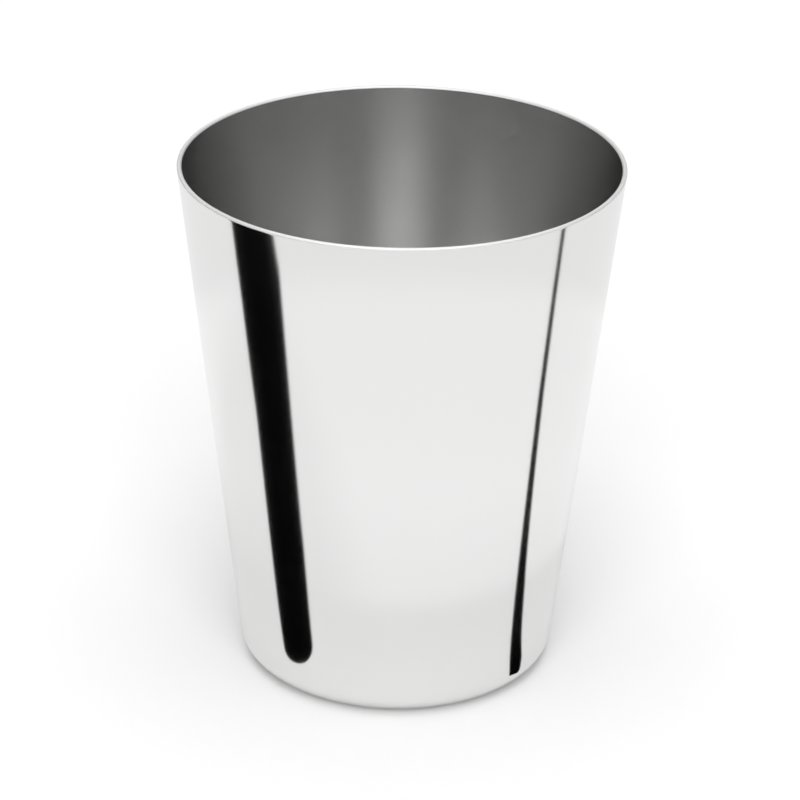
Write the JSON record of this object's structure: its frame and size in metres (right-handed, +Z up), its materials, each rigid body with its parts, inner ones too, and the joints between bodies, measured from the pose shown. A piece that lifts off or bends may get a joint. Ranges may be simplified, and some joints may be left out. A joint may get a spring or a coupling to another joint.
{
  "type": "deep drawn metal cup",
  "caption": "Tapered cup drawn from one sheet of steel: plain rounded lip, rounded foot and a shallow panel raised in the base; mirror polished outside, satin inside.",
  "frame": {"origin": "on the cup's axis, in the plane of its standing ring", "axes": "+Z up along the cup's axis, from the standing ring to the mouth; the cup is round, so X and Y are any two directions across it"},
  "size_m": [0.076, 0.076, 0.092],
  "materials": {
    "stainless_steel": "mirror polished outside and over the lip, satin inside"
  },
  "bodies": {
    "root": {"cup": "stainless_steel"}
  },
  "joints": []
}
